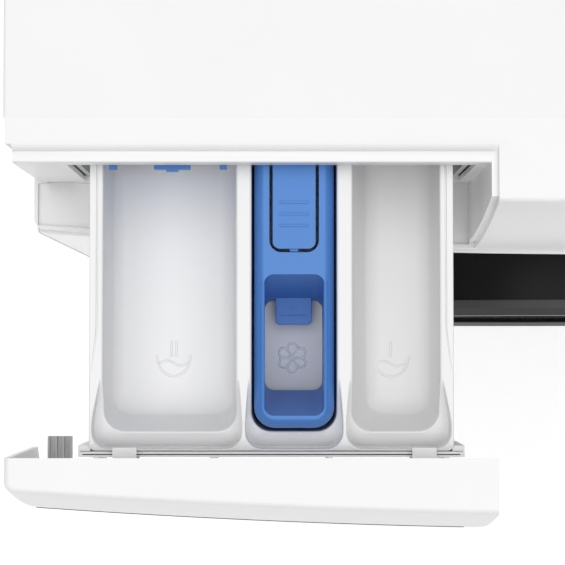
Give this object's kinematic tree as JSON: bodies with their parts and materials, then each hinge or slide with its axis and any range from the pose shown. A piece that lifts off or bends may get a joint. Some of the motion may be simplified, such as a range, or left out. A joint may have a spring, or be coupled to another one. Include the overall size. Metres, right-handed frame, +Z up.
{
  "type": "front load washing machine",
  "caption": "Front loading washing machine with a pulled-out detergent drawer, round black door, turning drum in a sprung tub, program knob and start button.",
  "frame": {"origin": "on the floor, in the middle of the box round the machine with its drawer pulled out", "axes": "+Z up, -Y out of the machine's front, +X to the right seen from the front"},
  "size_m": [0.598, 0.6938, 0.848],
  "materials": {
    "worktop_white": "white laminate on board",
    "fascia_white": "satin white",
    "panel_white": "white enamel",
    "galvanised": "zinc coated",
    "tray_white": "fine grained",
    "insert_blue": "satin blue",
    "clip_grey": "matt grey",
    "housing_grey": "matt light grey",
    "dark_plastic": "matt dark grey",
    "board": "green board",
    "display_dark": "gloss black",
    "knob_silver": "silver satin",
    "door_black": "gloss black",
    "door_grey": "dark grey satin",
    "smoked_cover": "smoked clear",
    "clear_glass": "clear glass",
    "rubber_grey": "grey rubber",
    "belt_black": "black rubber",
    "cast_weight": "rough cast",
    "bright_steel": "brushed",
    "alloy": "cast"
  },
  "bodies": {
    "cabinet": {"side_panel_left": "panel_white", "side_panel_right": "panel_white", "worktop": "worktop_white", "control_fascia": "fascia_white", "front_panel": "panel_white", "rear_panel": "galvanised", "cross_rails": "galvanised", "base_pan": "galvanised", "levelling_feet": "dark_plastic", "foot_lock_nuts": "galvanised", "mains_gland": "dark_plastic", "inlet_valve": "housing_grey", "dispenser_housing": "housing_grey", "dispenser_lid": "housing_grey", "control_board": "board", "display_window": "display_dark", "door_lock": "housing_grey", "hinge_bracket": "galvanised", "hinge_pin": "bright_steel", "damper_tubes": "galvanised", "drain_pump": "housing_grey"},
    "drawer": {"drawer_front": "fascia_white", "drawer_tray": "tray_white", "siphon_insert": "insert_blue", "front_clips": "tray_white", "guide_tongue": "clip_grey"},
    "release_tongue": {"release_tongue": "insert_blue"},
    "liquid_flap": {"liquid_flap": "insert_blue"},
    "tub": {"tub_front": "housing_grey", "tub_rear": "housing_grey", "counterweight": "cast_weight", "door_gasket": "rubber_grey", "heater": "bright_steel", "bearings": "bright_steel", "shaft_seal": "rubber_grey", "suspension_springs": "bright_steel", "damper_rods": "bright_steel", "motor": "alloy", "drive_belt": "belt_black", "fill_bellows": "rubber_grey", "sump_bellows": "rubber_grey"},
    "drum": {"drum_basket": "bright_steel", "drum_lifters": "housing_grey", "drum_spider": "alloy", "drum_shaft": "bright_steel", "drum_pulley": "alloy"},
    "motor_rotor": {"motor_pulley": "bright_steel"},
    "door": {"door_ring": "door_black", "door_bezel": "door_grey", "door_cover": "smoked_cover", "door_glass": "clear_glass", "door_inner_ring": "door_black", "door_handle": "door_grey", "hinge_arm": "galvanised"},
    "door_hook": {"door_hook": "bright_steel"},
    "program_knob": {"program_knob": "knob_silver"},
    "start_button": {"start_button": "knob_silver"},
    "service_flap": {"service_flap": "panel_white"},
    "filter_cap": {"filter_cap": "housing_grey"}
  },
  "joints": [
    {"name": "drawer_slide", "type": "slide", "parent": "cabinet", "child": "drawer", "axis": [0, 1, 0], "range_m": [0, 0.139]},
    {"name": "tongue_press", "type": "hinge", "parent": "drawer", "child": "release_tongue", "pos_m": [-0.1688, -0.17131, 0.8301], "axis": [1, 0, 0], "range_deg": [0, 4], "stiffness_Nm_per_rad": 0.5},
    {"name": "flap_swing", "type": "hinge", "parent": "drawer", "child": "liquid_flap", "pos_m": [-0.2255, -0.16911, 0.8265], "axis": [1, 0, 0], "range_deg": [0, 80]},
    {"name": "tub_float", "type": "slide", "parent": "cabinet", "child": "tub", "axis": [0, 0, 1], "range_m": [-0.008, 0.008], "stiffness_N_per_m": 20000, "springref_m": 0.01864, "deforming": ["suspension_springs", "fill_bellows", "sump_bellows", "door_gasket"]},
    {"name": "drum_spin", "type": "hinge", "parent": "tub", "child": "drum", "pos_m": [0, 0.1869, 0.438], "axis": [0, 1, 0], "continuous": true},
    {"name": "motor_spin", "type": "hinge", "parent": "tub", "child": "motor_rotor", "pos_m": [0.06, 0.25289, 0.11495], "axis": [0, 1, 0], "continuous": true},
    {"name": "door_swing", "type": "hinge", "parent": "cabinet", "child": "door", "pos_m": [-0.239, -0.22711, 0.438], "axis": [0, 0, -1], "range_deg": [0, 150]},
    {"name": "hook_flex", "type": "hinge", "parent": "door", "child": "door_hook", "pos_m": [0.192, -0.2025, 0.438], "axis": [0, 0, 1], "range_deg": [0, 6], "stiffness_Nm_per_rad": 1},
    {"name": "knob_turn", "type": "hinge", "parent": "cabinet", "child": "program_knob", "pos_m": [0.03, -0.20358, 0.792], "axis": [0, -0.9905, 0.1376], "continuous": true},
    {"name": "start_press", "type": "slide", "parent": "cabinet", "child": "start_button", "axis": [0, 0.9905, -0.1376], "range_m": [0, 0.0012], "stiffness_N_per_m": 500},
    {"name": "service_swing", "type": "hinge", "parent": "cabinet", "child": "service_flap", "pos_m": [0.2, -0.2004, 0.032], "axis": [1, 0, 0], "range_deg": [0, 90]},
    {"name": "cap_turn", "type": "hinge", "parent": "cabinet", "child": "filter_cap", "pos_m": [0.2, -0.1831, 0.064], "axis": [0, -1, 0], "range_deg": [0, 90]}
  ],
  "couplings": [
    {"joint": "motor_spin", "follows": "drum_spin", "ratio": 11.667}
  ]
}
